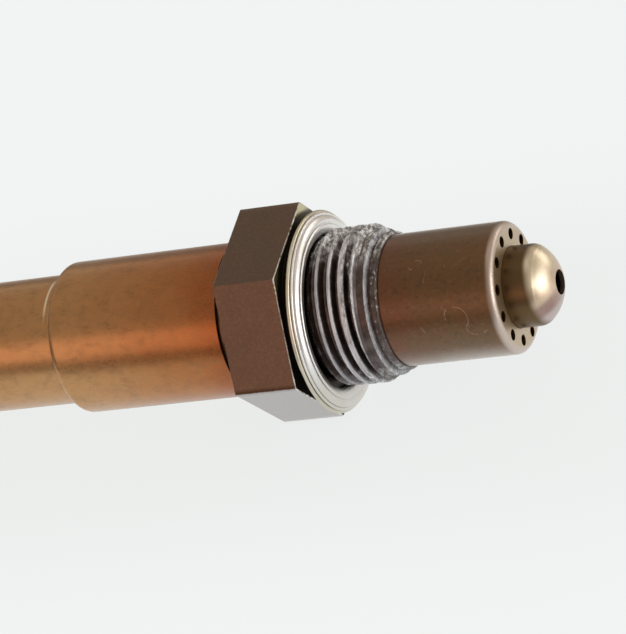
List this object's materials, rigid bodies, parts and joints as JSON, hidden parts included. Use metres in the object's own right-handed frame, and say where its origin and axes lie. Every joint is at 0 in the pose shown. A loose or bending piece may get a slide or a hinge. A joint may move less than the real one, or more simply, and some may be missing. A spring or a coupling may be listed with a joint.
{
  "type": "oxygen sensor",
  "caption": "Exhaust oxygen sensor: hexagon and threaded shell with folded sealing ring, stepped rear sleeve, and nested protection tubes with a ring of gas ports and a domed outlet.",
  "frame": {"origin": "on the sensor's axis, in the plane of the sealing ring's front face, which meets the exhaust boss", "axes": "+X along the sensor's axis to the gas-side tip, -X to the wire end; +Z square to one flat of the hexagon, which faces up, with the opposite flat down; Y completes the right-handed frame"},
  "size_m": [0.0841, 0.0254, 0.0232],
  "materials": {
    "shell_steel": "heat-tinted satin steel, sharp turned edges",
    "ring_steel": "bright folded stainless sheet, faint champagne tint",
    "tube_steel": "deep-drawn stainless tube, bronze heat tint",
    "sleeve_steel": "deep-drawn stainless sleeve, gold to copper heat tint",
    "alumina": "matte white alumina",
    "zirconia": "smooth fired ceramic laminate",
    "powder": "pressed talc powder",
    "spring_steel": "spring steel strip",
    "contact_nickel": "nickel-plated contact strip",
    "ptfe": "white fluoropolymer disc",
    "grommet_rubber": "matte black fluoro-rubber"
  },
  "bodies": {
    "root": {"hex_shell": "shell_steel", "sealing_ring": "ring_steel", "outer_protection_tube": "tube_steel", "inner_protection_tube": "tube_steel", "sensor_element": "zirconia", "front_insulator": "alumina", "seal_pack": "powder", "rear_insulator": "alumina", "disc_spring": "spring_steel", "rear_sleeve": "sleeve_steel", "contact_holder_upper": "alumina", "contact_holder_lower": "alumina", "clamp_spring": "spring_steel", "contact_1": "contact_nickel", "contact_2": "contact_nickel", "contact_3": "contact_nickel", "contact_4": "contact_nickel", "contact_5": "contact_nickel", "wire_guide": "ptfe", "grommet": "grommet_rubber"}
  },
  "joints": []
}
